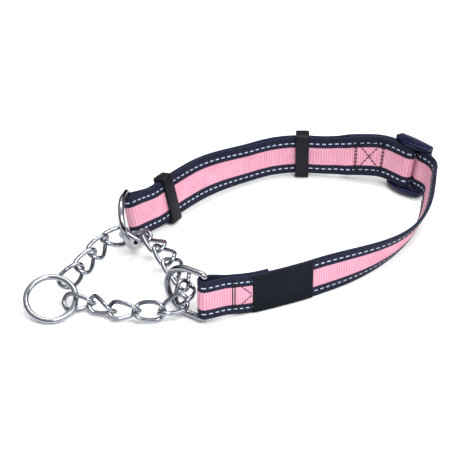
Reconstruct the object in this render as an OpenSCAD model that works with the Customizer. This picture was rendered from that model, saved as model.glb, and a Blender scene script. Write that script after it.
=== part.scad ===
// Martingale collar lying on a table with its webbing standing on edge.
// Millimetres, +Z up, +X towards the slider end, chain and leash ring at -X.
// The webbing follows one plan route, measured by arc length from the near D-ring's bar.

/* [Webbing] */
// Width of the webbing
strap_w = 25; // [24:0.5:25.5]
// Thickness of one layer of webbing
strap_t = 1.8; // [1.4:0.1:1.8]
// Air between two layers that lie on each other
layer_air = 0.5; // [0.4:0.1:0.6]
// Distance between cross sections of the webbing
strap_step = 4; // [2:0.5:5]

/* [D-rings] */
// Wire diameter of the two D-rings
d_wire = 3.6; // [3:0.2:3.6]
// Half the height of a D-ring, to the middle of its wire
d_half_h = 14.7; // [14.6:0.1:15]
// Depth of a D-ring from its bar to its arc, to the middle of the wire
d_depth = 24.5; // [23.5:0.5:24.5]
// Direction in which the near D-ring points, from its bar
near_ring_dir = 147; // [146:1:148]
// Direction in which the far D-ring points, from its bar
far_ring_dir = 262; // [261:1:263]

/* [Leash ring] */
// Wire diameter of the leash ring
leash_wire = 3.4; // [3:0.2:3.4]
// Radius of the leash ring, to the middle of its wire
leash_r = 13.7; // [13.5:0.1:13.8]
// Angle at which the leash ring leans on the chain
leash_tilt = 25; // [24:0.5:26]

/* [Chain] */
// Wire diameter of a chain link
link_wire = 2.5; // [2.2:0.1:2.5]
// Half the length of a link, to the middle of its wire
link_half_l = 8.5; // [8.4:0.05:8.5]
// Half the width of a link, to the middle of its wire
link_half_w = 4.9; // [4.7:0.1:5]
// Twist of a link from one end to the other
link_twist = 90; // [80:1:90]
// Free play between two links of the chain
link_play = 0.9; // [0.8:0.05:0.95]

/* [Plastic parts] */
// Wall of a keeper loop
keeper_wall = 1.7; // [1.4:0.1:1.8]
// Width of a keeper loop along the webbing
keeper_l = 8; // [6:0.5:8]
// Thickness of the slider's top and bottom rails
rail_t = 2.8; // [2.4:0.1:2.8]
// Thickness of the slider's outer bars
bar_t = 3; // [2.5:0.1:3]

/* [Hidden] */
// Move that puts the origin in the middle of the footprint
shift = [-4.31, 16.39, 0];
// Plan route of the webbing: [length, turn to the left] of each stretch
route = [[20, 8], [20, -4], [40, 10], [72, 34], [30, 20], [8, 50], [20, 0], [9, 28],
         [40, 9], [32, 35], [42, 18], [32, 8], [24, -14]];
route_start = [shift[0] - 13.5, shift[1] - 91, 18];
// Height of the lower edge above the table: [distance along the route, height]
rise_at = [[0, 4.6], [34, 0], [66, 0], [132, 1], [150, 1], [186, 5.3], [214, 5.3], [256, 2.4],
           [294, 2.4], [340, 3.6], [368, 3.6], [388, 5.4]];
// Outward lean of the webbing: [distance along the route, angle]
lean_at = [[66, 0], [132, 26], [178, 16], [186, 14], [214, 14], [256, 0], [294, 0],
           [338, 15], [370, 15], [388, 20]];

// Distances along the route, and its heading at the far end
route_end = 389;
route_end_dir = 220;
ring_loop_s = 14;
slider_pass = 14;
tail_end_s = 38;
near_run_s = 100;
slider_s = 200;
end_tail_s = 236;
corner_end_s = 275;
label_s = [27.5, 64];
ring_stitch_s = [15.4, 16.8];
ring_box_s = [18.6, 34];
slider_box_s = [215, 232];
mid_keeper_s = 264;
left_keeper_s = 360;

// Offsets from the route: outward is positive
half_gap = (strap_t + layer_air) / 2;
full_gap = strap_t + layer_air;
d_bar_r = d_wire / 2;
bar_air = 0.4;
ring_loop_r = d_bar_r + bar_air + strap_t / 2;
ring_ease = 15;
slider_bar_r = 1.7;
slider_air = 0.3;
slider_loop_r = slider_bar_r + slider_air + strap_t / 2;
slider_bar_off = slider_loop_r - full_gap;
slider_ease = 8.5;
over_bar_off = slider_bar_off + slider_loop_r + full_gap;
outer_bar_off = full_gap + strap_t / 2 + slider_air + bar_t / 2;
outer_bar_u = 10.7;
over_bar_l = 12;
part_s = 176;
part_l = 10;
join_l = 8;
edge_air = 0.6;
surface_air = 0.15;
thread_d = 0.4;
stitch_w = [3.5, 21.5];
cross_w = [11.5, 13.5];
stitch_air = 0.6;
label_t = 0.6;
label_edge = 0.4;
face_off = strap_t / 2 + surface_air;

// Slider rail and keeper outlines
rail_l = 24.4;
rail_out = 7.8;
rail_in = 3.6;
rail_outer_r = 60;
rail_inner_r = 20;
keeper_air = 0.25;
keeper_round = 1.2;

// Turn of each D-ring about its bar, from straight along the webbing
near_ring_turn = near_ring_dir - route_start[2];
far_ring_turn = far_ring_dir - route_end_dir;

// Chain: middle of the link in each D-ring's eye, and [heading, climb, roll] of every link
pitch = 2 * link_half_l - link_wire - link_play;
far_eye = shift + [-53.1, -26.2, 13.5];
near_eye = shift + [-24.1, -80.6, 12.8];
far_eye_link = [-3, -5, -18];
near_eye_link = [-97, -9, 1];
upper_run = [[216, 6, 144], [243, -5, 120], [241, -7, 120], [228, -13, 128]];
middle_far_run = [[-54, 0, -14], [-65, -1, 4], [-69, 0, 30]];
middle_near_run = [[113, -4, 142]];
lower_run = [[202, -17, 166], [174, -1, 130], [175, -3, 88], [147, -2, 81], [179, 2, 84]];
// Extra slack at the links that fold sharply in an eye
fold_slack = 0.8;
link_rings = 28;
link_sides = 8;
leash_centre = shift + [-97.8, -79.4, 7.8];

$fn = 48;

// ---- Route of the webbing ----

// Moves [x, y, heading] along an arc of the given length and curvature in degrees per millimetre
function along(p, l, k) = abs(k) < 0.001
    ? [p[0] + l * cos(p[2]), p[1] + l * sin(p[2]), p[2]]
    : let (r = 180 / (PI * k), h = p[2] + k * l)
      [p[0] + r * (sin(h) - sin(p[2])), p[1] - r * (cos(h) - cos(p[2])), h];

// Plan position and heading at a distance along the route
function route_at(s, i = 0, p = route_start) =
    let (l = route[i][0], k = route[i][1] / route[i][0])
    s <= l || i == len(route) - 1 ? along(p, s, k) : route_at(s - l, i + 1, along(p, l, k));

// Smooth step from 0 to 1
function ease(t) = t <= 0 ? 0 : t >= 1 ? 1 : (1 - cos(180 * t)) / 2;

// Smooth value between stations [distance, value]
function profile(table, s, i = 0) =
    i == len(table) - 1 || s <= table[0][0] ? table[i][1]
    : s < table[i + 1][0]
      ? table[i][1] + (table[i + 1][1] - table[i][1])
        * ease((s - table[i][0]) / (table[i + 1][0] - table[i][0]))
      : profile(table, s, i + 1);

// Point in the space of the webbing: distance along the route, outward offset, height up the webbing
function webbing_point(s, off, w) =
    let (p = route_at(s), a = profile(lean_at, s), side = off * cos(a) + w * sin(a))
    [p[0] + side * sin(p[2]), p[1] - side * cos(p[2]), profile(rise_at, s) + w * cos(a) - off * sin(a)];

// Places children at a distance along the route: x along it, y inward, z up the webbing
module on_route(s) {
    p = route_at(s);
    translate([p[0], p[1], profile(rise_at, s)])
        rotate([0, 0, p[2]])
            rotate([profile(lean_at, s), 0, 0])
                children();
}

// ---- Layers of webbing ----

// Offset of the layer that faces outward
function outer_off(s) =
    s < ring_ease ? half_gap + (ring_loop_r - half_gap) * ease(1 - s / ring_ease)
    : s < slider_s - over_bar_l ? half_gap + (full_gap - half_gap) * ease((s - part_s) / part_l)
    : s < slider_s + over_bar_l ? full_gap + (over_bar_off - full_gap) * ease(1 - abs(s - slider_s) / slider_ease)
    : s < route_end - ring_ease ? full_gap - (full_gap - half_gap) * ease((s - end_tail_s) / join_l)
    : half_gap + (ring_loop_r - half_gap) * ease(1 - (route_end - s) / ring_ease);

// Offset of the layer that faces inward
function inner_off(s) =
    s < ring_ease ? -outer_off(s)
    : s > route_end - ring_ease ? -outer_off(s)
    : s > near_run_s ? -full_gap + (full_gap - half_gap) * ease((s - end_tail_s) / join_l)
    : -half_gap;

// Offset of the end tail between the two layers beside the slider
function end_tail_off(s) = (slider_bar_off + slider_loop_r) * ease(1 - (s - slider_s) / slider_ease);

// Evenly spaced distances between two ends
function steps(a, b, d = strap_step) =
    let (n = max(1, ceil(abs(b - a) / d))) [for (i = [0:n]) a + (b - a) * i / n];

// Stations [distance, offset, angle of the layer's normal] round a bar at a distance and offset:
// from the outer side to the inner side past the bar's far end, or back before its near end
function bar_turn(s, off, r, sense) =
    [for (i = [1:11]) let (a = sense > 0 ? 15 * i : 180 - 15 * i)
        [s + sense * r * sin(a), off + r * cos(a), sense * a]];

// Adds the edges of the webbing, or two other heights up it, to every station
function edged(stations, w0 = 0, w1 = strap_w) = [for (q = stations) concat(q, [w0, w1])];

// Stations of a layer that lies along the route
function flat(a, b, off) = [for (s = steps(a, b)) [s, off(s), 0]];

// Stations of a layer that runs back against the route
function back(a, b, off) = [for (s = steps(a, b)) [s, off(s), 180]];

// Closed band as thick as t through stations [distance, offset, normal angle, low edge, high edge]
module band(stations, t = strap_t) {
    points = [for (q = stations)
        for (c = [[-1, q[3]], [1, q[3]], [1, q[4]], [-1, q[4]]])
            webbing_point(q[0] + c[0] * t / 2 * sin(q[2]), q[1] + c[0] * t / 2 * cos(q[2]), c[1])];
    m = 4 * (len(stations) - 1);
    sides = [for (i = [0:4:m - 4]) for (j = [0:3])
        let (a = i + j, b = i + (j + 1) % 4)
        for (f = [[a, b, b + 4], [a, b + 4, a + 4]]) f];
    polyhedron(points = points, faces = concat([[3, 2, 1, 0], [m, m + 1, m + 2, m + 3]], sides));
}

// One layer of webbing along the route
module layer(a, b, off) {
    color("salmon") band(edged(flat(a, b, off)));
}

// Webbing that comes back along its inner side, turns round a bar and leaves along its outer side
module turned_layer(s, bar_s, off, r, inner, outer) {
    color("salmon")
        band(edged(concat(back(s, bar_s, inner), bar_turn(bar_s, off, r, -1), flat(bar_s, s, outer))));
}

// ---- Webbing, label and stitching ----

module webbing_near_tail() layer(ring_loop_s, tail_end_s, function (s) inner_off(s));

module webbing_near_loop()
    turned_layer(ring_loop_s, 0, 0, ring_loop_r, function (s) inner_off(s), function (s) outer_off(s));

module webbing_near_run() layer(ring_loop_s, near_run_s, function (s) outer_off(s));

module webbing_right_run() layer(near_run_s, slider_s - slider_pass, function (s) outer_off(s));

module webbing_slider_pass()
    layer(slider_s - slider_pass, slider_s + slider_pass, function (s) outer_off(s));

module webbing_corner_outer()
    layer(slider_s + slider_pass, corner_end_s, function (s) outer_off(s));

module webbing_far_outer() layer(corner_end_s, route_end - ring_loop_s, function (s) outer_off(s));

module webbing_far_loop() {
    color("salmon")
        band(edged(concat(flat(route_end - ring_loop_s, route_end, function (s) outer_off(s)),
                          bar_turn(route_end, 0, ring_loop_r, 1),
                          back(route_end, route_end - ring_loop_s, function (s) inner_off(s)))));
}

module webbing_far_inner() layer(corner_end_s, route_end - ring_loop_s, function (s) inner_off(s));

module webbing_corner_inner()
    layer(slider_s + slider_pass, corner_end_s, function (s) inner_off(s));

module webbing_slider_loop()
    turned_layer(slider_s + slider_pass, slider_s, slider_bar_off, slider_loop_r,
                 function (s) inner_off(s), function (s) end_tail_off(s));

module webbing_end_tail() layer(slider_s + slider_pass, end_tail_s, function (s) end_tail_off(s));

module label_patch() {
    off = half_gap + face_off + label_t / 2;
    color("black")
        band(edged([for (s = steps(label_s[0], label_s[1])) [s, off, 0]], label_edge, strap_w - label_edge),
             label_t);
}

// Straight run of stitches on a face of the webbing, from one distance and height to another
module stitch_row(s0, w0, s1, w1, off) {
    ends = s0 == s1 ? [s0 - thread_d / 2, s0 + thread_d / 2] : [s0, s1];
    half = s0 == s1 ? abs(w1 - w0) / 2 : thread_d / 2 * norm([s1 - s0, w1 - w0]) / abs(s1 - s0);
    middle = (w0 + w1) / 2;
    color("black")
        band([for (s = steps(ends[0], ends[1]))
            let (w = s0 == s1 ? middle : w0 + (w1 - w0) * (s - s0) / (s1 - s0))
            [s, off, 0, w - half, w + half]], thread_d);
}

// Box of stitches with a cross in it, between two distances
module box_stitch(s0, s1, off) {
    stitch_row(s0, stitch_w[0], s0, stitch_w[1], off);
    stitch_row(s1, stitch_w[0], s1, stitch_w[1], off);
    for (w = stitch_w)
        stitch_row(s0 + stitch_air, w, s1 - stitch_air, w, off);
    middle = (s0 + s1) / 2;
    for (i = [0, 1]) {
        stitch_row(s0 + stitch_air, stitch_w[i] + (1 - 2 * i) * stitch_air * 2, middle - stitch_air,
                   cross_w[i], off);
        stitch_row(middle + stitch_air, cross_w[i], s1 - stitch_air,
                   stitch_w[i] + (1 - 2 * i) * stitch_air * 2, off);
    }
}

module ring_end_stitching() {
    for (s = ring_stitch_s)
        for (side = [-1, 1])
            stitch_row(s, stitch_w[0], s, stitch_w[1], side * (half_gap + face_off + thread_d / 2));
    box_stitch(ring_box_s[0], ring_box_s[1], -half_gap - face_off - thread_d / 2);
    for (i = [0, 1])
        stitch_row(ring_box_s[0], stitch_w[i] + (1 - 2 * i) * stitch_air * 2, label_s[0] - stitch_air,
                   cross_w[i], half_gap + face_off + thread_d / 2);
}

module slider_end_stitching() {
    for (side = [-1, 1])
        box_stitch(slider_box_s[0], slider_box_s[1], side * (full_gap + face_off + thread_d / 2));
}

// ---- Plastic parts ----

// Lens-shaped rail of the slider, its outer side at -Y
module rail() {
    intersection() {
        translate([0, rail_outer_r - rail_out, 0])
            cylinder(r = rail_outer_r, h = rail_t);
        translate([0, rail_in - rail_inner_r, 0])
            cylinder(r = rail_inner_r, h = rail_t);
        translate([-rail_l / 2, -rail_outer_r / 2, 0])
            cube([rail_l, rail_outer_r, rail_t]);
    }
}

module triglide_slider() {
    bar_h = strap_w + 2 * edge_air + rail_t;
    color("midnightblue")
        on_route(slider_s) {
            for (w = [-edge_air - rail_t, strap_w + edge_air])
                translate([0, 0, w])
                    rail();
            for (side = [-1, 1])
                translate([side * outer_bar_u, -outer_bar_off, strap_w / 2])
                    cube([bar_t, bar_t, bar_h], center = true);
            translate([0, -slider_bar_off, strap_w / 2])
                cylinder(r = slider_bar_r, h = bar_h, center = true);
        }
}

// Rectangle with round corners
module rounded_rect(w, h, r) {
    square([w - 2 * r, h], center = true);
    square([w, h - 2 * r], center = true);
    for (x = [-1, 1])
        for (y = [-1, 1])
            translate([x * (w / 2 - r), y * (h / 2 - r)])
                circle(r = r);
}

// Moulded loop round both layers at a distance along the route
module keeper(s) {
    w = 2 * full_gap + 2 * keeper_air;
    h = strap_w + 2 * edge_air;
    color("black")
        on_route(s)
            translate([0, 0, strap_w / 2])
                rotate([90, 0, 90])
                    linear_extrude(height = keeper_l, center = true)
                        difference() {
                            rounded_rect(w + 2 * keeper_wall, h + 2 * keeper_wall, keeper_round);
                            square([w, h], center = true);
                        }
}

module mid_keeper() keeper(mid_keeper_s);

module left_keeper() keeper(left_keeper_s);

// ---- Rings and chain ----

// D-ring on a bar at a distance along the route, turned about that bar
module d_ring(s, turn) {
    leg = d_depth - d_half_h;
    color("silver")
        on_route(s)
            translate([0, 0, strap_w / 2])
                rotate([0, 0, turn]) {
                    cylinder(r = d_bar_r, h = 2 * d_half_h, center = true);
                    for (side = [-1, 1])
                        translate([0, 0, side * d_half_h]) {
                            sphere(r = d_bar_r);
                            rotate([0, 90, 0])
                                cylinder(r = d_bar_r, h = leg);
                        }
                    translate([leg, 0, 0])
                        rotate([90, 0, 0])
                            rotate_extrude(angle = 180, start = -90)
                                translate([d_half_h, 0])
                                    circle(r = d_bar_r);
                }
}

module near_d_ring() d_ring(0, near_ring_turn);

module far_d_ring() d_ring(route_end, far_ring_turn);

module leash_ring() {
    color("silver")
        translate(leash_centre)
            rotate([leash_tilt, 0, 0])
                rotate_extrude()
                    translate([leash_r, 0])
                        circle(r = leash_wire / 2);
}

// Middle of a link's wire before its twist, t from 0 to 1 round the link
function link_outline(t) =
    let (straight = 2 * (link_half_l - link_half_w), bend = PI * link_half_w,
         d = t * 2 * (straight + bend), u = (d - straight) / bend, v = (d - 2 * straight - bend) / bend)
    u < 0 ? [d - straight / 2, link_half_w]
    : u < 1 ? [straight / 2 + link_half_w * sin(180 * u), link_half_w * cos(180 * u)]
    : v < 0 ? [straight * 1.5 + bend - d, -link_half_w]
    : [-straight / 2 - link_half_w * sin(180 * v), -link_half_w * cos(180 * v)];

// Twist at a distance from the middle of a link
function twist_at(x) = link_twist * x / (2 * link_half_l);

// Middle of a twisted link's wire
function link_mid(t) =
    let (p = link_outline(t - floor(t)), a = twist_at(p[0])) [p[0], p[1] * cos(a), p[1] * sin(a)];

// Ring of points round a twisted link's wire
function link_ring(t, d = 0.002) =
    let (p = link_mid(t), e = link_mid(t + d) - link_mid(t - d), a = twist_at(p[0]),
         along = e / norm(e), u0 = cross(along, [0, -sin(a), cos(a)]), u = u0 / norm(u0),
         v = cross(along, u))
    [for (i = [0:link_sides - 1]) let (b = 360 * i / link_sides)
        p + link_wire / 2 * (cos(b) * u + sin(b) * v)];

// One twisted link along X, in the middle of its length
module link() {
    m = link_rings * link_sides;
    color("silver")
        polyhedron(points = [for (k = [0:link_rings - 1]) each link_ring(k / link_rings)],
                   faces = [for (k = [0:link_rings - 1]) for (i = [0:link_sides - 1])
                       let (a = k * link_sides + i, b = k * link_sides + (i + 1) % link_sides,
                            c = (b + link_sides) % m, d = (a + link_sides) % m)
                       for (f = [[a, d, c], [a, c, b]]) f]);
}

// Direction of a heading and a climb
function toward(q) = [cos(q[1]) * cos(q[0]), cos(q[1]) * sin(q[0]), sin(q[1])];

// Links [middle, direction] of a run that starts at p
function run_links(p, run, i = 0) =
    i == len(run) ? []
    : concat([[p + pitch / 2 * toward(run[i]), run[i]]],
             run_links(p + pitch * toward(run[i]), run, i + 1));

// Links of the run that leaves one end of the link in an eye
function links_from(eye, q, end, run, slack = fold_slack) =
    run_links(eye + end * (pitch / 2 - slack) * toward(q), run);

// All links, from the leash ring through the far eye and the near eye back to it
upper_links = links_from(far_eye, far_eye_link, -1, upper_run);
links = concat([for (i = [len(upper_links) - 1:-1:0]) upper_links[i]],
               [[far_eye, far_eye_link]],
               links_from(far_eye, far_eye_link, 1, middle_far_run),
               links_from(near_eye, near_eye_link, -1, middle_near_run, 0),
               [[near_eye, near_eye_link]],
               links_from(near_eye, near_eye_link, 1, lower_run));

// Name of chain link number i
function link_name(i) = str("chain_link_", i < 10 ? "0" : "", i);

// Chain link number i
module chain_link(i) {
    p = links[i - 1][0];
    q = links[i - 1][1];
    translate(p)
        rotate([q[2], -q[1], q[0]])
            link();
}

webbing_near_tail();
webbing_near_loop();
webbing_near_run();
webbing_right_run();
webbing_slider_pass();
webbing_corner_outer();
webbing_far_outer();
webbing_far_loop();
webbing_far_inner();
webbing_corner_inner();
webbing_slider_loop();
webbing_end_tail();
label_patch();
ring_end_stitching();
slider_end_stitching();
triglide_slider();
mid_keeper();
left_keeper();
near_d_ring();
far_d_ring();
leash_ring();
for (i = [1:15])
    chain_link(i);
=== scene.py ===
import math
import bmesh
import bpy
import numpy as np
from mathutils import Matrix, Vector


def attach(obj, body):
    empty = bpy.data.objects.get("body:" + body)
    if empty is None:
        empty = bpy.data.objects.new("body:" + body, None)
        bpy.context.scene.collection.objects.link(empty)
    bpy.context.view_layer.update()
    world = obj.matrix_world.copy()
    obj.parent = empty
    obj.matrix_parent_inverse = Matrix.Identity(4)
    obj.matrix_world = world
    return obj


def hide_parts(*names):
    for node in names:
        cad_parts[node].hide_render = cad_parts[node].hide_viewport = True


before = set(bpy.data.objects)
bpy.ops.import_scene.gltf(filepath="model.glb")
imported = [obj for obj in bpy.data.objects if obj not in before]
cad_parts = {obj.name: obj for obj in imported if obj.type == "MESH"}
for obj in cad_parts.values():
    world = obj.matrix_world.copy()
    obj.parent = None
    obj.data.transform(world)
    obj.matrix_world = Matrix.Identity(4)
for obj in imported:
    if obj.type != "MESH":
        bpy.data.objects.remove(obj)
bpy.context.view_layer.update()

# ---------------------------------------------------------------------------
# Sizes in millimetres; MM turns them into metres when a mesh is made.
# ---------------------------------------------------------------------------
MM = 0.001
SHIFT = (-4.31, 16.39, 0.0)

STRAP_W = 25.0
STRAP_T = 1.8
LAYER_AIR = 0.5
HALF_GAP = (STRAP_T + LAYER_AIR) / 2
FULL_GAP = STRAP_T + LAYER_AIR

ROUTE = [(20, 8), (20, -4), (40, 10), (72, 34), (30, 20), (8, 50), (20, 0), (9, 28),
         (40, 9), (32, 35), (42, 18), (32, 8), (24, -14)]
ROUTE_START = (SHIFT[0] - 13.5, SHIFT[1] - 91.0, 18.0)
RISE = [(0, 4.6), (34, 0), (66, 0), (132, 1), (150, 1), (186, 5.3), (214, 5.3), (256, 2.4),
        (294, 2.4), (340, 3.6), (368, 3.6), (388, 5.4)]
LEAN = [(66, 0), (132, 26), (178, 16), (186, 14), (214, 14), (256, 0), (294, 0),
        (338, 15), (370, 15), (388, 20)]
# Places along the route.
ROUTE_END = 389.0
ROUTE_END_DIR = 220.0
TAIL_END = 38.0
DOUBLED_FROM = 150.0
PART_S = 176.0
PART_L = 10.0
SLIDER_S = 200.0
OVER_BAR_L = 12.0
END_TAIL = 236.0
JOIN_L = 8.0
LABEL = (27.5, 64.0)
RING_STITCH = (15.4, 16.8)
RING_BOX = (18.6, 34.0)
SLIDER_BOX = (215.0, 232.0)
MID_KEEPER_S = 264.0
LEFT_KEEPER_S = 360.0

D_WIRE = 3.6
D_HALF_H = 14.7
D_DEPTH = 24.5
RING_LOOP_R = D_WIRE / 2 + 0.4 + STRAP_T / 2
RING_EASE = 15.0
D_CORNER = 1.9
NEAR_RING_DIR = 147.0
FAR_RING_DIR = 262.0

BAR_R = 1.7
LOOP_R = BAR_R + 0.3 + STRAP_T / 2
BAR_OFF = LOOP_R - FULL_GAP
SLIDER_EASE = 8.5
OVER_BAR = BAR_OFF + LOOP_R + FULL_GAP
OUTER_BAR_OFF = 5.0
OUTER_BAR_U = 10.7
BAR_T = 3.0
RAIL_T = 2.8
RAIL_HALF = 12.2
RAIL_OUT = 7.8
RAIL_IN = 3.6
RAIL_OUTER_R = 60.0
RAIL_INNER_R = 20.0
EDGE_AIR = 0.6
KEEPER_WALL = 1.7
KEEPER_L = 8.0
KEEPER_AIR = 0.25

LINK_WIRE = 2.5
LINK_L = 8.5
LINK_W = 4.9
LINK_TWIST = 90.0
LINK_PLAY = 0.9
LINK_PITCH = 2 * LINK_L - LINK_WIRE - LINK_PLAY
# Slack between a link in an eye and the first link that folds back from it.
FOLD_SLACK = 0.8
# Middle of the link in each D-ring's eye, and (heading, climb, roll) of every link.
FAR_EYE = np.array([-53.1, -26.2, 13.5])
NEAR_EYE = np.array([-24.1, -80.6, 12.8])
FAR_LINK = (-3, -5, -18)
NEAR_LINK = (-97, -9, 1)
UPPER = [(216, 6, 144), (243, -5, 120), (241, -7, 120), (228, -13, 128)]
MIDDLE_FAR = [(-54, 0, -14), (-65, -1, 4), (-69, 0, 30)]
MIDDLE_NEAR = [(113, -4, 142)]
LOWER = [(202, -17, 166), (174, -1, 130), (175, -3, 88), (147, -2, 81), (179, 2, 84)]
LEASH_C = np.array([-97.8, -79.4, 7.8])
LEASH_R = 13.7
LEASH_WIRE = 3.4
LEASH_TILT = 25.0

# Weave of the webbing.
RIB = 1.6
EDGE_RIB = 1.25
PINK_HALF = 6.4
DASH_AT = 8.6
DASH_PITCH = 3.8
EDGE_R = 0.7
STEP = 0.42
TURN_STEP = 4.0


# ---------------------------------------------------------------------------
# Route of the webbing, for arrays of distances
# ---------------------------------------------------------------------------
def _starts():
    """Distance, place, heading and curvature at the start of every stretch."""
    out = []
    x, y, h = ROUTE_START
    s = 0.0
    for length, turn in ROUTE:
        k = math.radians(turn / length)
        out.append((s, x, y, math.radians(h), k))
        if abs(k) < 1e-6:
            x += length * math.cos(math.radians(h))
            y += length * math.sin(math.radians(h))
        else:
            a = math.radians(h)
            b = a + k * length
            x += (math.sin(b) - math.sin(a)) / k
            y -= (math.cos(b) - math.cos(a)) / k
        h += turn
        s += length
    return np.array(out)


STARTS = _starts()


def route(s):
    """Plan position and heading at distances along the route."""
    s = np.asarray(s, float)
    i = np.clip(np.searchsorted(STARTS[:, 0], s, side="left") - 1, 0, len(STARTS) - 1)
    s0, x0, y0, h0, k = STARTS[i].T if s.ndim else STARTS[i]
    d = s - s0
    straight = np.abs(k) < 1e-6
    kk = np.where(straight, 1.0, k)
    h = h0 + k * d
    x = np.where(straight, x0 + d * np.cos(h0), x0 + (np.sin(h) - np.sin(h0)) / kk)
    y = np.where(straight, y0 + d * np.sin(h0), y0 - (np.cos(h) - np.cos(h0)) / kk)
    return x, y, h


def ease(t):
    """Smooth step from 0 to 1."""
    return (1 - np.cos(np.pi * np.clip(t, 0, 1))) / 2


def profile(table, s):
    """Smooth value between stations (distance, value)."""
    s = np.asarray(s, float)
    out = np.full(s.shape, float(table[0][1]))
    for (a, va), (b, vb) in zip(table, table[1:]):
        out = np.where(s >= a, va + (vb - va) * ease((s - a) / (b - a)), out)
    return out


def strap_point(s, off, w):
    """Points at a distance along the route, an outward offset and a height up the webbing."""
    x, y, h = route(s)
    a = np.radians(profile(LEAN, s))
    side = off * np.cos(a) + w * np.sin(a)
    z = profile(RISE, s) + w * np.cos(a) - off * np.sin(a)
    return np.stack([x + side * np.sin(h), y - side * np.cos(h), z], -1)


def outer_off(s):
    """Offset of the layer that faces outward."""
    near = HALF_GAP + (RING_LOOP_R - HALF_GAP) * ease(1 - s / RING_EASE)
    to_slider = HALF_GAP + (FULL_GAP - HALF_GAP) * ease((s - PART_S) / PART_L)
    over = FULL_GAP + (OVER_BAR - FULL_GAP) * ease(1 - np.abs(s - SLIDER_S) / SLIDER_EASE)
    far = FULL_GAP - (FULL_GAP - HALF_GAP) * ease((s - END_TAIL) / JOIN_L)
    loop = HALF_GAP + (RING_LOOP_R - HALF_GAP) * ease(1 - (ROUTE_END - s) / RING_EASE)
    return np.where(s < RING_EASE, near,
                    np.where(s < SLIDER_S - OVER_BAR_L, to_slider,
                             np.where(s < SLIDER_S + OVER_BAR_L, over,
                                      np.where(s < ROUTE_END - RING_EASE, far, loop))))


def inner_off(s):
    """Offset of the layer that faces inward."""
    side = -FULL_GAP + (FULL_GAP - HALF_GAP) * ease((s - END_TAIL) / JOIN_L)
    return np.where((s < RING_EASE) | (s > ROUTE_END - RING_EASE), -outer_off(s),
                    np.where(s > DOUBLED_FROM, side, -HALF_GAP))


def tail_off(s):
    """Offset of the end tail, between the two layers beside the slider."""
    return (BAR_OFF + LOOP_R) * ease(1 - (s - SLIDER_S) / SLIDER_EASE)


def bar_turn(s, off, r, sense):
    """Stations (distance, offset, angle of the layer's normal) round a bar."""
    a = np.arange(TURN_STEP, 180 - TURN_STEP / 2, TURN_STEP)
    if sense < 0:
        a = a[::-1]
    t = np.radians(a)
    return np.stack([s + sense * r * np.sin(t), off + r * np.cos(t), sense * a], -1)


def flat(a, b, off, angle):
    """Stations of a layer that lies along the route."""
    n = max(2, int(math.ceil(abs(b - a) / STEP)))
    s = np.linspace(a, b, n + 1)
    return np.stack([s, off(s), np.full(n + 1, float(angle))], -1)


# ---------------------------------------------------------------------------
# Mesh helpers
# ---------------------------------------------------------------------------
def make_mesh(name, verts, faces, attrs=None):
    """Smooth mesh object from points in millimetres, with a value per point for each attribute."""
    me = bpy.data.meshes.new(name)
    v = (np.asarray(verts, float) * MM).tolist()
    me.from_pydata(v, [], [tuple(int(i) for i in f) for f in faces])
    me.update()
    for key, values in (attrs or {}).items():
        at = me.attributes.new(key, "FLOAT", "POINT")
        at.data.foreach_set("value", np.asarray(values, np.float32))
    me.polygons.foreach_set("use_smooth", [True] * len(me.polygons))
    ob = bpy.data.objects.new(name, me)
    bpy.context.scene.collection.objects.link(ob)
    return ob


def grid_faces(rows, cols, close_rows=False, base=0):
    """Quads between rings of cols points each, with a cap at both ends unless the rows close."""
    faces = []
    last = rows if close_rows else rows - 1
    for i in range(last):
        a = base + i * cols
        b = base + ((i + 1) % rows) * cols
        for j in range(cols):
            k = (j + 1) % cols
            faces.append((a + j, b + j, b + k, a + k))
    if not close_rows:
        faces.append(tuple(base + j for j in range(cols)))
        faces.append(tuple(base + (rows - 1) * cols + j for j in reversed(range(cols))))
    return faces


def orient(ob):
    """Turns every face outward."""
    bm = bmesh.new()
    bm.from_mesh(ob.data)
    bmesh.ops.recalc_face_normals(bm, faces=bm.faces)
    bm.to_mesh(ob.data)
    bm.free()
    return ob


def tube_points(path, radius, sides=8, closed=False, up=(0, 0, 1)):
    """Rings round a path, carried along without twist."""
    path = np.asarray(path, float)
    n = len(path)
    if closed:
        t = np.roll(path, -1, 0) - np.roll(path, 1, 0)
    else:
        t = np.gradient(path, axis=0)
    t /= np.linalg.norm(t, axis=1)[:, None]
    u = np.cross(t[0], np.array(up, float))
    if np.linalg.norm(u) < 1e-3:
        u = np.cross(t[0], np.array([1.0, 0, 0]))
    u /= np.linalg.norm(u)
    rad = np.broadcast_to(np.asarray(radius, float), (n,))
    ang = np.linspace(0, 2 * np.pi, sides, endpoint=False)
    frames = []
    for i in range(n):
        u = u - t[i] * np.dot(u, t[i])
        u /= np.linalg.norm(u)
        frames.append(u.copy())
    # A closed path gives back, bit by bit, what the frame turned on the way round.
    twist = 0.0
    if closed:
        w = frames[-1] - t[0] * np.dot(frames[-1], t[0])
        w /= np.linalg.norm(w)
        twist = math.atan2(np.dot(np.cross(frames[0], w), t[0]), np.dot(frames[0], w))
    rings = []
    for i in range(n):
        a = -twist * i / n
        v = np.cross(t[i], frames[i])
        uu = math.cos(a) * frames[i] + math.sin(a) * v
        vv = np.cross(t[i], uu)
        rings.append(path[i] + rad[i] * (np.cos(ang)[:, None] * uu + np.sin(ang)[:, None] * vv))
    return np.concatenate(rings)


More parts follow.
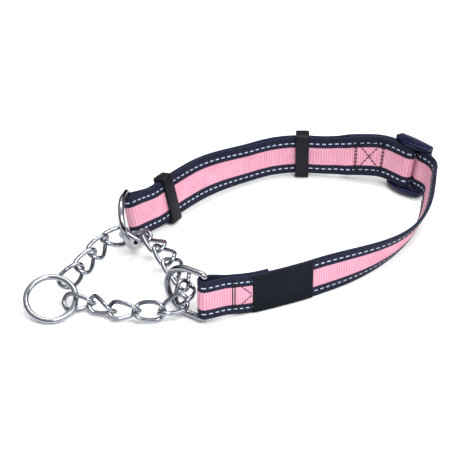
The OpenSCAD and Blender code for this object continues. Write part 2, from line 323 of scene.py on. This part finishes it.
def pill(p0, p1, r, nrm, sides=6):
    """One stitch: a short thread that dips at both ends. Returns points, rows and columns."""
    t = np.array([0.0, 0.12, 0.35, 0.65, 0.88, 1.0])
    lift = np.array([-1.0, -0.35, 0.0, 0.0, -0.35, -1.0]) * r * 0.9
    path = p0 + (p1 - p0) * t[:, None] + nrm * lift[:, None]
    rad = np.array([0.45, 0.85, 1.0, 1.0, 0.85, 0.45]) * r
    pts = tube_points(path, rad, sides, up=tuple(nrm))
    return pts, len(t), sides


# ---------------------------------------------------------------------------
# Materials
# ---------------------------------------------------------------------------
class Graph:
    """Short names for shader nodes of one material."""

    def __init__(self, name):
        self.mat = bpy.data.materials.new(name)
        self.mat.use_nodes = True
        self.t = self.mat.node_tree
        self.bsdf = next(n for n in self.t.nodes if n.type == "BSDF_PRINCIPLED")

    def put(self, socket, value):
        if isinstance(value, bpy.types.NodeSocket):
            self.t.links.new(value, socket)
        else:
            socket.default_value = value

    def math(self, op, a, b=0.0, c=0.0):
        n = self.t.nodes.new("ShaderNodeMath")
        n.operation = op
        for i, v in enumerate((a, b, c)):
            self.put(n.inputs[i], v)
        return n.outputs[0]

    def attr(self, name):
        n = self.t.nodes.new("ShaderNodeAttribute")
        n.attribute_type = "GEOMETRY"
        n.attribute_name = name
        return n.outputs["Fac"]

    def coords(self):
        return self.t.nodes.new("ShaderNodeTexCoord").outputs["Object"]

    def noise(self, vector, scale, detail=2.0, rough=0.5):
        n = self.t.nodes.new("ShaderNodeTexNoise")
        self.put(n.inputs["Vector"], vector)
        self.put(n.inputs["Scale"], scale)
        self.put(n.inputs["Detail"], detail)
        self.put(n.inputs["Roughness"], rough)
        return n.outputs[0]

    def combine(self, x, y, z=0.0):
        n = self.t.nodes.new("ShaderNodeCombineXYZ")
        for i, v in enumerate((x, y, z)):
            self.put(n.inputs[i], v)
        return n.outputs[0]

    def mix(self, fac, a, b):
        n = self.t.nodes.new("ShaderNodeMix")
        n.data_type = "RGBA"
        self.put(n.inputs[0], fac)
        for sock, v in ((n.inputs[6], a), (n.inputs[7], b)):
            self.put(sock, v if isinstance(v, bpy.types.NodeSocket) else (*v, 1.0))
        return n.outputs[2]

    def mixf(self, fac, a, b):
        n = self.t.nodes.new("ShaderNodeMix")
        n.data_type = "FLOAT"
        self.put(n.inputs[0], fac)
        self.put(n.inputs[2], a)
        self.put(n.inputs[3], b)
        return n.outputs[0]

    def range(self, value, a, b, lo=0.0, hi=1.0):
        n = self.t.nodes.new("ShaderNodeMapRange")
        n.clamp = True
        self.put(n.inputs["Value"], value)
        self.put(n.inputs["From Min"], a)
        self.put(n.inputs["From Max"], b)
        self.put(n.inputs["To Min"], lo)
        self.put(n.inputs["To Max"], hi)
        return n.outputs[0]

    def bump(self, height, strength, distance):
        n = self.t.nodes.new("ShaderNodeBump")
        self.put(n.inputs["Strength"], strength)
        self.put(n.inputs["Distance"], distance)
        self.put(n.inputs["Height"], height)
        self.put(self.bsdf.inputs["Normal"], n.outputs[0])

    def set(self, **values):
        for key, v in values.items():
            self.put(self.bsdf.inputs[key.replace("_", " ")], v)
        return self.mat


def wave(g, x, pitch, phase=0.0):
    """0 to 1 to 0 once in each pitch."""
    t = g.math("MULTIPLY_ADD", x, math.pi / pitch, phase)
    return g.math("ABSOLUTE", g.math("SINE", t))


# Painted shade: the redder pink laid between the ribs.
PINK_SHADE = (0.49, 0.11, 0.19)
PINK = (0.70, 0.39, 0.49)
PINK_PALE = (0.73, 0.47, 0.57)
# Black: painted shade between the ribs, and the painted highlight colour on the rib tops.
BLACK_SHADE = (0.001, 0.0015, 0.006)
BLACK_RIB_LIT = (0.021, 0.025, 0.056)
REFLECTIVE = (0.50, 0.57, 0.74)


def webbing_material():
    g = Graph("webbing_woven")
    u = g.attr("strap_u")
    w = g.attr("strap_w")
    face = g.attr("strap_face")
    d = g.math("ABSOLUTE", g.math("SUBTRACT", w, STRAP_W / 2))
    vec = g.combine(u, w, face)
    fine = g.noise(vec, 2.2, 3.0, 0.6)
    broad = g.noise(vec, 0.12, 2.0, 0.5)
    rib = wave(g, u, RIB)
    # The border between pink and black steps with the ribs.
    step = g.math("MULTIPLY", rib, 0.45)
    edge = g.math("ADD", d, g.math("ADD", step, g.math("MULTIPLY", fine, 0.5)))
    pink = g.range(edge, PINK_HALF, PINK_HALF - 0.2)
    # Pink yarns: painted highlight on top of a rib and of each warp yarn, painted shade (redder) between
    # ribs, with random tone from noise.
    warp = wave(g, g.math("MULTIPLY_ADD", g.math("FLOOR", g.math("DIVIDE", u, RIB)), 0.35, w), 0.7)
    light = g.math("MULTIPLY_ADD", rib, 0.55, g.math("MULTIPLY", warp, 0.35))
    light = g.math("MULTIPLY_ADD", g.math("SUBTRACT", fine, 0.5), 0.5, light)
    pink_col = g.mix(g.range(light, 0.1, 0.9), PINK_SHADE, PINK)
    pink_col = g.mix(g.range(broad, 0.35, 0.7, 0.0, 0.25), pink_col, PINK_PALE)
    # Black yarns: painted highlight on the rib tops and yarn crossings, painted shade between them.
    black_rib_highlight = g.math("MULTIPLY", wave(g, u, EDGE_RIB), wave(g, w, 1.1))
    black_col = g.mix(black_rib_highlight, BLACK_SHADE, BLACK_RIB_LIT)
    # Reflective thread: a dash over, a gap under.
    frac = g.math("FRACT", g.math("DIVIDE", u, DASH_PITCH))
    dash = g.math("MULTIPLY", g.range(frac, 0.56, 0.62, 1.0, 0.0), g.range(frac, 0.0, 0.06))
    at = g.math("ABSOLUTE", g.math("SUBTRACT", d, DASH_AT))
    dash = g.math("MULTIPLY", dash, g.range(at, 0.38, 0.28))
    col = g.mix(pink, black_col, pink_col)
    col = g.mix(dash, col, REFLECTIVE)
    height = g.math("ADD", g.math("MULTIPLY", rib, 0.6), g.math("MULTIPLY", warp, 0.25))
    height = g.math("ADD", height, g.math("MULTIPLY", fine, 0.35))
    height = g.math("ADD", height, g.math("MULTIPLY", dash, 0.8))
    g.bump(height, 0.7, 0.0001)
    return g.set(Base_Color=col, Roughness=g.mixf(dash, 0.78, 0.32), Metallic=g.mixf(dash, 0.0, 0.2),
                 Sheen_Weight=0.04, Sheen_Roughness=0.4, Specular_IOR_Level=0.14)


def label_material():
    g = Graph("label_woven")
    u = g.attr("strap_u")
    w = g.attr("strap_w")
    twill = wave(g, g.math("ADD", u, w), 0.5)
    weft = wave(g, w, 0.32)
    fine = g.noise(g.combine(u, w, 0.0), 3.0, 3.0, 0.6)
    h = g.math("ADD", g.math("MULTIPLY", twill, 0.6), g.math("MULTIPLY", weft, 0.4))
    # Painted highlight on the raised twill and weft yarns, with random tone from noise.
    col = g.mix(g.range(g.math("ADD", h, g.math("MULTIPLY", fine, 0.5)), 0.2, 1.4),
                (0.001, 0.002, 0.004), (0.004, 0.007, 0.012))
    g.bump(g.math("ADD", h, fine), 0.5, 0.00006)
    return g.set(Base_Color=col, Roughness=0.7, Sheen_Weight=0.03, Sheen_Roughness=0.3,
                 Specular_IOR_Level=0.12)


def thread_material():
    g = Graph("thread_bonded")
    fine = g.noise(g.coords(), 2500.0, 3.0, 0.6)
    col = g.mix(fine, (0.001, 0.001, 0.002), (0.010, 0.010, 0.014))
    g.bump(fine, 0.5, 0.00004)
    return g.set(Base_Color=col, Roughness=0.6, Specular_IOR_Level=0.2)


def plastic_material(name, dark, light, rough, coat, grain, depth):
    g = Graph(name)
    c = g.coords()
    broad = g.noise(c, 60.0, 3.0, 0.6)
    fine = g.noise(c, grain, 3.0, 0.6)
    col = g.mix(broad, dark, light)
    rgh = g.range(broad, 0.3, 0.7, rough * 0.75, rough * 1.25)
    g.bump(fine, 0.35, depth)
    return g.set(Base_Color=col, Roughness=rgh, Coat_Weight=coat, Coat_Roughness=0.06,
                 Specular_IOR_Level=0.18)


def chrome_material(name, tint, rough):
    g = Graph(name)
    c = g.coords()
    cloud = g.noise(c, 180.0, 3.0, 0.6)
    fine = g.noise(c, 2600.0, 2.0, 0.6)
    speck = g.range(g.noise(c, 900.0, 2.0, 0.7), 0.64, 0.74)
    col = g.mix(cloud, tuple(0.90 * v for v in tint), tint)
    col = g.mix(g.math("MULTIPLY", speck, 0.35), col, (0.42, 0.42, 0.44))
    worn = g.math("ADD", cloud, g.math("MULTIPLY", fine, 0.3))
    rgh = g.range(worn, 0.35, 0.95, rough, rough + 0.14)
    g.bump(g.math("ADD", fine, speck), 0.12, 0.00003)
    return g.set(Base_Color=col, Metallic=1.0, Roughness=rgh)


M_WEB = webbing_material()
M_LABEL = label_material()
M_THREAD = thread_material()
M_SLIDER = plastic_material("slider_gloss", (0.003, 0.004, 0.020), (0.006, 0.008, 0.040),
                            rough=0.30, coat=0.08, grain=900.0, depth=0.00002)
M_KEEPER = plastic_material("keeper_satin", (0.002, 0.002, 0.004), (0.005, 0.006, 0.011),
                            rough=0.45, coat=0.0, grain=2200.0, depth=0.00004)
M_CHAIN = chrome_material("chain_chrome", (0.29, 0.305, 0.35), 0.08)
M_RING = chrome_material("ring_chrome", (0.34, 0.355, 0.395), 0.07)


def finish_piece(ob, mat, body, slot, *nodes):
    """Gives a piece its material and the body it rides on, and hides the nodes it stands for; slot is not
    used.
    """
    ob.data.materials.clear()
    ob.data.materials.append(mat)
    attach(ob, body)
    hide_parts(*nodes)
    return ob


# ---------------------------------------------------------------------------
# The strap: one continuous piece of webbing
# ---------------------------------------------------------------------------
def strap_stations():
    parts = [flat(TAIL_END, 0, inner_off, 180),
             bar_turn(0, 0, RING_LOOP_R, -1),
             flat(0, ROUTE_END, outer_off, 0),
             bar_turn(ROUTE_END, 0, RING_LOOP_R, 1),
             flat(ROUTE_END, SLIDER_S, inner_off, 180),
             bar_turn(SLIDER_S, BAR_OFF, LOOP_R, -1),
             flat(SLIDER_S, END_TAIL, tail_off, 0)]
    return np.concatenate(parts)


def section(n_face=21):
    """(thickness share, height, face) round the webbing's section; its edges are rounded."""
    r = EDGE_R
    rows = []
    for w in np.linspace(r, STRAP_W - r, n_face):
        rows.append((1.0, w, 1.0))
    for a in np.radians(np.linspace(0, 180, 7))[1:-1]:
        rows.append((math.cos(a), STRAP_W - r + r * math.sin(a), 0.0))
    for w in np.linspace(STRAP_W - r, r, n_face):
        rows.append((-1.0, w, -1.0))
    for a in np.radians(np.linspace(180, 360, 7))[1:-1]:
        rows.append((math.cos(a), r + r * math.sin(a), 0.0))
    return np.array(rows)


def build_strap():
    st = strap_stations()
    sec = section()
    n, m = len(st), len(sec)
    mid = strap_point(st[:, 0], st[:, 1], np.full(n, STRAP_W / 2))
    u = np.concatenate([[0], np.cumsum(np.linalg.norm(np.diff(mid, axis=0), axis=1))])
    s = np.repeat(st[:, 0], m)
    off = np.repeat(st[:, 1], m)
    ang = np.radians(np.repeat(st[:, 2], m))
    uu = np.repeat(u, m)
    c = np.tile(sec[:, 0], n)
    w = np.tile(sec[:, 1], n)
    f = np.tile(sec[:, 2], n)
    d = np.abs(w - STRAP_W / 2)
    rib = np.abs(np.sin(np.pi * uu / RIB))
    # Ribs are deeper in the pink, and the flat border is a little thinner.
    groove = np.where(d < PINK_HALF, 0.055, 0.02) * (1 - rib)
    border = np.where((d > 8.8) & (f != 0), 0.02, 0.0)
    c = c * (STRAP_T / 2 * (1 - groove - border))
    edge_wave = 0.20 * (1 - np.abs(np.sin(np.pi * uu / EDGE_RIB)))
    w = np.where(w < EDGE_R, w + edge_wave, np.where(w > STRAP_W - EDGE_R, w - edge_wave, w))
    pts = strap_point(s + c * np.sin(ang), off + c * np.cos(ang), w)
    faces = grid_faces(n, m)
    return orient(make_mesh("webbing_strap", pts, faces,
                            {"strap_u": uu, "strap_w": w, "strap_face": f}))


WEB_NODES = ["webbing_near_tail", "webbing_near_loop", "webbing_near_run", "webbing_right_run",
             "webbing_slider_pass", "webbing_corner_outer", "webbing_far_outer", "webbing_far_loop",
             "webbing_far_inner", "webbing_corner_inner", "webbing_slider_loop", "webbing_end_tail"]
finish_piece(build_strap(), M_WEB, "webbing", "webbing", *WEB_NODES)


# ---------------------------------------------------------------------------
# Label: a thin patch with a raised folded border
# ---------------------------------------------------------------------------
LABEL_EDGE = 0.35
LABEL_RIM = 0.74
LABEL_GROOVE = 0.58
LABEL_FACE = 0.62
LABEL_BASE = HALF_GAP + STRAP_T / 2


def label_lift(end, side):
    """Height of the label's face at distances from its end and its side."""
    rim = min(end, side)
    if side <= 0:
        return 0.0
    if end < 0.01:
        return 0.25
    if rim > 1.9:
        return LABEL_FACE
    if rim > 1.3:
        return LABEL_GROOVE
    return LABEL_RIM if rim > 0.25 else 0.45


def build_label():
    base = LABEL_BASE + 0.02
    lo, hi = LABEL_EDGE, STRAP_W - LABEL_EDGE
    heights = [lo, *np.linspace(lo + 0.3, hi - 0.3, 33), hi]
    stations = np.arange(LABEL[0], LABEL[1] + 0.01, 0.5)
    pts = []
    for s in stations:
        end = min(s - LABEL[0], LABEL[1] - s)
        for w in heights:
            pts.append(strap_point(s, base + label_lift(end, min(w - lo, hi - w)), w))
        for w in (hi, lo):
            pts.append(strap_point(s, base - 0.01, w))
    ring = heights + [hi, lo]
    attrs = {"strap_u": np.repeat(stations, len(ring)), "strap_w": np.tile(ring, len(stations))}
    return orient(make_mesh("label_patch_woven", pts, grid_faces(len(stations), len(ring)), attrs))


finish_piece(build_label(), M_LABEL, "webbing", "label", "label_patch")


# ---------------------------------------------------------------------------
# Stitching: every stitch is a short thread
# ---------------------------------------------------------------------------
class Batch:
    """Gathers closed grids into one mesh."""

    def __init__(self):
        self.p, self.f, self.n = [], [], 0

    def add(self, pts, rows, cols):
        self.p.append(pts)
        self.f.extend(grid_faces(rows, cols, base=self.n))
        self.n += len(pts)

    def make(self, name):
        return orient(make_mesh(name, np.concatenate(self.p), self.f))


def outward(s, side):
    """Direction away from the webbing's face."""
    return side * (strap_point(s, 1.0, STRAP_W / 2) - strap_point(s, 0.0, STRAP_W / 2))


def stitch_line(batch, s0, w0, s1, w1, off, length=2.1, gap=0.25, r=0.34):
    """Straight run of stitches from one distance and height to another."""
    total = math.hypot(s1 - s0, w1 - w0)
    n = max(1, round(total / (length + gap)))
    side = 1 if off > 0 else -1
    for i in range(n):
        a = (i + 0.07) / n
        b = (i + 0.93) / n
        sa, sb = s0 + (s1 - s0) * a, s0 + (s1 - s0) * b
        p = strap_point(sa, off, w0 + (w1 - w0) * a)
        q = strap_point(sb, off, w0 + (w1 - w0) * b)
        batch.add(*pill(p, q, r, outward((sa + sb) / 2, side)))


STITCH_W = (3.5, 21.5)
ROW_GAP = 0.9


def stitch_box(batch, s0, s1, off):
    """Box of stitches with doubled ends and a cross in it."""
    low, high = STITCH_W
    for s in (s0, s0 + ROW_GAP, s1, s1 - ROW_GAP):
        stitch_line(batch, s, low, s, high, off)
    for w in STITCH_W:
        stitch_line(batch, s0, w, s1, w, off)
    stitch_line(batch, s0 + ROW_GAP, low, s1 - ROW_GAP, high, off)
    stitch_line(batch, s0 + ROW_GAP, high, s1 - ROW_GAP, low, off)


THREAD_OFF = STRAP_T / 2 + 0.10
batch = Batch()
for s in RING_STITCH:
    for side in (-1, 1):
        stitch_line(batch, s, 2.4, s, 22.6, side * (HALF_GAP + THREAD_OFF), 1.5, 0.2, 0.4)
stitch_box(batch, *RING_BOX, -(HALF_GAP + THREAD_OFF))
# The cross on the outer face shows only as far as the label.
for w0, w1 in ((4.6, 12.0), (20.4, 13.0)):
    stitch_line(batch, 18.4, w0, LABEL[0] - 0.6, w1, HALF_GAP + THREAD_OFF, 2.0, 0.3, 0.30)
finish_piece(batch.make("ring_end_thread"), M_THREAD, "webbing", "stitching", "ring_end_stitching")

batch = Batch()
for side in (-1, 1):
    stitch_box(batch, *SLIDER_BOX, side * (FULL_GAP + THREAD_OFF))
finish_piece(batch.make("slider_end_thread"), M_THREAD, "webbing", "stitching", "slider_end_stitching")

# Thread that holds the label down, all round its rim.
LABEL_SEAM = 1.3
SEAM_S = (LABEL[0] + 1.0, LABEL[1] - 1.0)
SEAM_OFF = LABEL_BASE + LABEL_RIM
batch = Batch()
for w in (LABEL_SEAM, STRAP_W - LABEL_SEAM):
    stitch_line(batch, SEAM_S[0], w, SEAM_S[1], w, SEAM_OFF, 2.0, 0.3, 0.16)
for s in SEAM_S:
    stitch_line(batch, s, LABEL_SEAM, s, STRAP_W - LABEL_SEAM, SEAM_OFF, 2.0, 0.3, 0.16)
seam = batch.make("label_thread")
seam.data.materials.append(M_THREAD)
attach(seam, "webbing")


# ---------------------------------------------------------------------------
# Moulded parts
# ---------------------------------------------------------------------------
def frame_at(s):
    """Origin and axes at a distance along the route: x along it, y inward, z up the webbing."""
    o = strap_point(s, 0.0, 0.0)
    up = strap_point(s, 0.0, 1.0) - o
    inward = strap_point(s, -1.0, 0.0) - o
    return o, np.cross(inward, up), inward, up


def place(points, s):
    """Points in the axes of frame_at(s), put in the scene's axes."""
    o, x, y, z = frame_at(s)
    p = np.asarray(points, float)
    return o + p[:, :1] * x + p[:, 1:2] * y + p[:, 2:3] * z


def bevelled_prism(outline, z0, z1, r, steps=4):
    """Closed prism of an outline in x, y with rounded rims. Returns points, rows, columns."""
    c = np.asarray(outline, float)
    nxt, prv = np.roll(c, -1, 0), np.roll(c, 1, 0)
    e1 = c - prv
    e2 = nxt - c
    n1 = np.stack([e1[:, 1], -e1[:, 0]], -1) / np.linalg.norm(e1, axis=1)[:, None]
    n2 = np.stack([e2[:, 1], -e2[:, 0]], -1) / np.linalg.norm(e2, axis=1)[:, None]
    nn = n1 + n2
    nn /= np.maximum(np.linalg.norm(nn, axis=1)[:, None] ** 2 / 2, 0.5)
    turns = np.radians(np.linspace(0, 90, steps + 1))
    rings = []
    for a, z, up in [(a, z0, 1) for a in turns] + [(a, z1, -1) for a in turns[::-1]]:
        level = np.full(len(c), z + up * r * (1 - math.cos(a)))
        rings.append(np.column_stack([c - nn * r * (1 - math.sin(a)), level]))
    return np.concatenate(rings), len(rings), len(c)


def rounded_outline(w, h, r, n=6):
    """Rectangle with round corners about the origin."""
    pts = []
    for cx, cy, a0 in ((w / 2 - r, h / 2 - r, 0), (-w / 2 + r, h / 2 - r, 90),
                       (-w / 2 + r, -h / 2 + r, 180), (w / 2 - r, -h / 2 + r, 270)):
        for i in range(n + 1):
            a = math.radians(a0 + 90 * i / n)
            pts.append((cx + r * math.cos(a), cy + r * math.sin(a)))
    return np.array(pts)


def lens_outline(n=26):
    """Outline of a slider rail: two arcs between blunt, rounded ends."""
    x = np.linspace(-RAIL_HALF, RAIL_HALF, n)
    outer = RAIL_OUTER_R - RAIL_OUT - np.sqrt(RAIL_OUTER_R ** 2 - x ** 2)
    inner = RAIL_IN - RAIL_INNER_R + np.sqrt(RAIL_INNER_R ** 2 - x ** 2)
    pts = np.concatenate([np.column_stack([x, outer]), np.column_stack([x, inner])[::-1]])
    k = len(pts)
    out = []
    for i, p in enumerate(pts):
        if i not in (0, n - 1, n, k - 1):
            out.append(p)
            continue
        da, db = pts[i - 1] - p, pts[(i + 1) % k] - p
        da, db = da / np.linalg.norm(da), db / np.linalg.norm(db)
        for t in np.linspace(0, 1, 5):
            q0 = p + da * 0.9 * (1 - t)
            q1 = p + db * 0.9 * t
            out.append(q0 * (1 - t) + q1 * t)
    return np.array(out)


def build_slider():
    batch = Batch()
    for z in (-EDGE_AIR - RAIL_T, STRAP_W + EDGE_AIR):
        pts, rows, cols = bevelled_prism(lens_outline(), z, z + RAIL_T, 0.9)
        batch.add(place(pts, SLIDER_S), rows, cols)
    # Two square outer bars and the round centre bar reach 1 mm into both rails.
    a = np.linspace(0, 2 * np.pi, 28, endpoint=False)
    bars = [rounded_outline(BAR_T, BAR_T, 0.8) + [side * OUTER_BAR_U, -OUTER_BAR_OFF] for side in (-1, 1)]
    bars.append(np.column_stack([BAR_R * np.cos(a), -BAR_OFF + BAR_R * np.sin(a)]))
    half = STRAP_W / 2 + EDGE_AIR + 1.0
    for outline in bars:
        pts, rows, cols = bevelled_prism(outline, STRAP_W / 2 - half, STRAP_W / 2 + half, 0.3)
        batch.add(place(pts, SLIDER_S), rows, cols)
    return batch.make("slider_moulded")


finish_piece(build_slider(), M_SLIDER, "webbing", "slider", "triglide_slider")


def build_keeper(name, s):
    """A moulded loop: a rounded wall section swept round a rounded rectangle."""
    wall = KEEPER_WALL
    w = 2 * FULL_GAP + 2 * KEEPER_AIR
    h = STRAP_W + 2 * EDGE_AIR
    inner = rounded_outline(w, h, 0.35)
    outer = rounded_outline(w + 2 * wall, h + 2 * wall, 1.9)
    r = 0.55
    half = KEEPER_L / 2
    prof = []
    for cx, cy, a0 in ((half - r, 1 - r / wall, 0), (-half + r, 1 - r / wall, 90),
                       (-half + r, r / wall, 180), (half - r, r / wall, 270)):
        for i in range(5):
            a = math.radians(a0 + 22.5 * i)
            prof.append((cx + r * math.cos(a), cy + r / wall * math.sin(a)))
    prof.append((half, 0.5))
    pts = []
    for i, o in zip(inner, outer):
        for x, t in prof:
            p = i + (o - i) * t
            pts.append((x, p[0], STRAP_W / 2 + p[1]))
    pts = place(pts, s)
    faces = grid_faces(len(inner), len(prof), close_rows=True)
    return orient(make_mesh(name, pts, faces))


for node, s in (("mid_keeper", MID_KEEPER_S), ("left_keeper", LEFT_KEEPER_S)):
    finish_piece(build_keeper(node + "_moulded", s), M_KEEPER, node, "keepers", node)


# ---------------------------------------------------------------------------
# Rings and chain
# ---------------------------------------------------------------------------
def build_d_ring(name, s, turn):
    """Wire bent to a D about a bar on the route, turned from straight along the webbing."""
    leg = D_DEPTH - D_HALF_H
    rc = D_CORNER
    path = []
    for z in np.linspace(-D_HALF_H + rc, D_HALF_H - rc, 15)[:-1]:
        path.append((0, z))
    for a in np.radians(np.linspace(180, 90, 8)):
        path.append((rc + rc * math.cos(a), D_HALF_H - rc + rc * math.sin(a)))
    for x in np.linspace(rc, leg, 6)[1:-1]:
        path.append((x, D_HALF_H))
    for a in np.radians(np.linspace(90, -90, 49)):
        path.append((leg + D_HALF_H * math.cos(a), D_HALF_H * math.sin(a)))
    for x in np.linspace(leg, rc, 6)[1:]:
        path.append((x, -D_HALF_H))
    for a in np.radians(np.linspace(-90, -180, 8))[1:-1]:
        path.append((rc + rc * math.cos(a), -D_HALF_H + rc + rc * math.sin(a)))
    path = np.array(path)
    t = math.radians(turn)
    p3 = np.column_stack([path[:, 0] * math.cos(t), path[:, 0] * math.sin(t),
                          STRAP_W / 2 + path[:, 1]])
    rad = np.full(len(p3), D_WIRE / 2)
    # The weld: a small swelling in the middle of the bar.
    rad += 0.12 * np.exp(-((path[:, 1] / 1.2) ** 2)) * (path[:, 0] < 0.01)
    pts = tube_points(place(p3, s), rad, 20, closed=True)
    return orient(make_mesh(name, pts, grid_faces(len(p3), 20, close_rows=True)))


for node, s, turn in (("near_d_ring", 0.0, NEAR_RING_DIR - ROUTE_START[2]),
                      ("far_d_ring", ROUTE_END, FAR_RING_DIR - ROUTE_END_DIR)):
    finish_piece(build_d_ring(node + "_wire", s, turn), M_RING, node, "d_rings", node)


def weld_radius(wire, x, rise, width, neck_at, neck_width):
    """Radius of a wire at distances from its weld: a swelling with a neck beside it."""
    return wire / 2 * (1 + rise * np.exp(-((x / width) ** 2))
                       - 0.03 * np.exp(-(((x - neck_at) / neck_width) ** 2)))


def build_leash_ring():
    a = np.linspace(0, 2 * np.pi, 120, endpoint=False)
    t = math.radians(LEASH_TILT)
    path = np.column_stack([LEASH_R * np.cos(a), LEASH_R * np.sin(a) * math.cos(t),
                            LEASH_R * np.sin(a) * math.sin(t)])
    path = path + LEASH_C + SHIFT
    weld = np.abs(((a - math.radians(200) + np.pi) % (2 * np.pi)) - np.pi)
    rad = weld_radius(LEASH_WIRE, weld, 0.05, 0.06, 0.12, 0.05)
    pts = tube_points(path, rad, 22, closed=True)
    return orient(make_mesh("leash_ring_wire", pts, grid_faces(len(a), 22, close_rows=True)))


finish_piece(build_leash_ring(), M_RING, "leash_ring", "leash_ring", "leash_ring")


def link_mid(t):
    """Middle of a twisted link's wire, t from 0 to 1 round the link."""
    straight = 2 * (LINK_L - LINK_W)
    bend = math.pi * LINK_W
    d = (t % 1.0) * 2 * (straight + bend)
    if d < straight:
        x, y = d - straight / 2, LINK_W
    elif d < straight + bend:
        u = math.pi * (d - straight) / bend
        x, y = straight / 2 + LINK_W * math.sin(u), LINK_W * math.cos(u)
    elif d < 2 * straight + bend:
        x, y = straight * 1.5 + bend - d, -LINK_W
    else:
        v = math.pi * (d - 2 * straight - bend) / bend
        x, y = -straight / 2 - LINK_W * math.sin(v), -LINK_W * math.cos(v)
    a = math.radians(LINK_TWIST * x / (2 * LINK_L))
    return (x, y * math.cos(a), y * math.sin(a))


def toward(q):
    """Direction of a link's length."""
    h, c = math.radians(q[0]), math.radians(q[1])
    return np.array([math.cos(c) * math.cos(h), math.cos(c) * math.sin(h), math.sin(c)])


def run_links(p, run):
    """Middle and angles of the links that follow each other from a point."""
    out = []
    for q in run:
        out.append((p + LINK_PITCH / 2 * toward(q), q))
        p = p + LINK_PITCH * toward(q)
    return out


def links_from(eye, q, end, run, slack=FOLD_SLACK):
    """Links that start at one end (-1 or 1) of the link in an eye."""
    return run_links(eye + end * (LINK_PITCH / 2 - slack) * toward(q), run)


LINKS = (links_from(FAR_EYE, FAR_LINK, -1, UPPER)[::-1] + [(FAR_EYE, FAR_LINK)]
         + links_from(FAR_EYE, FAR_LINK, 1, MIDDLE_FAR)
         + links_from(NEAR_EYE, NEAR_LINK, -1, MIDDLE_NEAR, 0.0) + [(NEAR_EYE, NEAR_LINK)]
         + links_from(NEAR_EYE, NEAR_LINK, 1, LOWER))


def build_link(i, centre, q):
    n, sides = 76, 16
    t = np.arange(n) / n
    path = np.array([link_mid(v) for v in t])
    # The weld sits in the middle of one side.
    weld = np.abs(((t - 0.09 + 0.5) % 1.0) - 0.5)
    rad = weld_radius(LINK_WIRE, weld, 0.07, 0.012, 0.03, 0.01)
    h, c, r = (math.radians(v) for v in q)
    x = toward(q)
    y0 = np.array([-math.sin(h), math.cos(h), 0.0])
    z0 = np.cross(x, y0)
    y = math.cos(r) * y0 + math.sin(r) * z0
    z = np.cross(x, y)
    p = centre + SHIFT + path[:, :1] * x + path[:, 1:2] * y + path[:, 2:3] * z
    pts = tube_points(p, rad, sides, closed=True)
    return orient(make_mesh(f"link_{i:02d}_wire", pts, grid_faces(n, sides, close_rows=True)))


for i, (centre, q) in enumerate(LINKS, 1):
    node = f"chain_link_{i:02d}"
    finish_piece(build_link(i, np.asarray(centre), q), M_CHAIN, node, "chain", node)


# ---------------------------------------------------------------------------
# Stage, light and camera
# ---------------------------------------------------------------------------
def stage_plane(name, size, z, colour):
    """Level square of soft matte colour, in metres."""
    me = bpy.data.meshes.new(name)
    h = size / 2
    me.from_pydata([(-h, -h, z), (h, -h, z), (h, h, z), (-h, h, z)], [], [(0, 1, 2, 3)])
    ob = bpy.data.objects.new(name, me)
    bpy.context.scene.collection.objects.link(ob)
    g = Graph(name + "_matte")
    soft = g.noise(g.coords(), 3.0, 2.0, 0.5)
    g.set(Base_Color=g.mix(soft, colour, tuple(min(1.0, v * 1.01) for v in colour)), Roughness=0.9)
    me.materials.append(g.mat)
    return ob


stage_plane("floor", 8.0, -0.0002, (0.94, 0.94, 0.945))


def area(name, at, size, power, target=(0.0, 0.0, 0.02)):
    """Soft rectangular lamp that faces the collar."""
    li = bpy.data.lights.new(name, "AREA")
    li.shape = "RECTANGLE"
    li.size, li.size_y = size
    li.energy = power
    ob = bpy.data.objects.new(name, li)
    ob.location = at
    ob.rotation_euler = (Vector(target) - Vector(at)).to_track_quat("-Z", "Y").to_euler()
    bpy.context.scene.collection.objects.link(ob)
    return ob


area("key", (0.30, -0.85, 1.05), (0.7, 0.5), 15.0)
area("top", (0.1, 0.35, 1.3), (1.0, 0.5), 11.0)
area("fill", (0.9, -0.5, 0.6), (0.5, 0.6), 4.0)


def studio_world():
    """The metal reflects a dark to white gradient; the camera sees a pale wall behind the floor."""
    world = bpy.data.worlds.new("studio")
    bpy.context.scene.world = world
    world.use_nodes = True
    t = world.node_tree
    bg = next(n for n in t.nodes if n.type == "BACKGROUND")
    bg.inputs["Strength"].default_value = 0.8
    height = t.nodes.new("ShaderNodeSeparateXYZ")
    t.links.new(t.nodes.new("ShaderNodeTexCoord").outputs["Generated"], height.inputs[0])
    ramp = t.nodes.new("ShaderNodeMapRange")
    ramp.inputs["From Min"].default_value = 0.3
    ramp.inputs["From Max"].default_value = 0.75
    t.links.new(height.outputs["Z"], ramp.inputs["Value"])
    gradient = t.nodes.new("ShaderNodeMix")
    gradient.data_type = "RGBA"
    t.links.new(ramp.outputs[0], gradient.inputs[0])
    gradient.inputs[6].default_value = (0.02, 0.02, 0.025, 1.0)
    gradient.inputs[7].default_value = (1.0, 1.0, 1.0, 1.0)
    seen = t.nodes.new("ShaderNodeMix")
    seen.data_type = "RGBA"
    t.links.new(t.nodes.new("ShaderNodeLightPath").outputs["Is Camera Ray"], seen.inputs[0])
    t.links.new(gradient.outputs[2], seen.inputs[6])
    seen.inputs[7].default_value = (1.15, 1.15, 1.16, 1.0)
    t.links.new(seen.outputs[2], bg.inputs["Color"])


studio_world()

CAM_DISTANCE = 1.2
CAM_ELEVATION = math.radians(34.0)
CAM_LENS = 161.9
target = Vector((SHIFT[0] * MM, SHIFT[1] * MM, 0.0))
cam_data = bpy.data.cameras.new("camera")
cam_data.lens = CAM_LENS
cam_data.sensor_width = 36.0
cam = bpy.data.objects.new("camera", cam_data)
cam.location = target + CAM_DISTANCE * Vector((0.0, -math.cos(CAM_ELEVATION), math.sin(CAM_ELEVATION)))
cam.rotation_euler = (target - cam.location).to_track_quat("-Z", "Y").to_euler()
bpy.context.scene.collection.objects.link(cam)
bpy.context.scene.camera = cam

bpy.context.scene.view_settings.view_transform = "Standard"
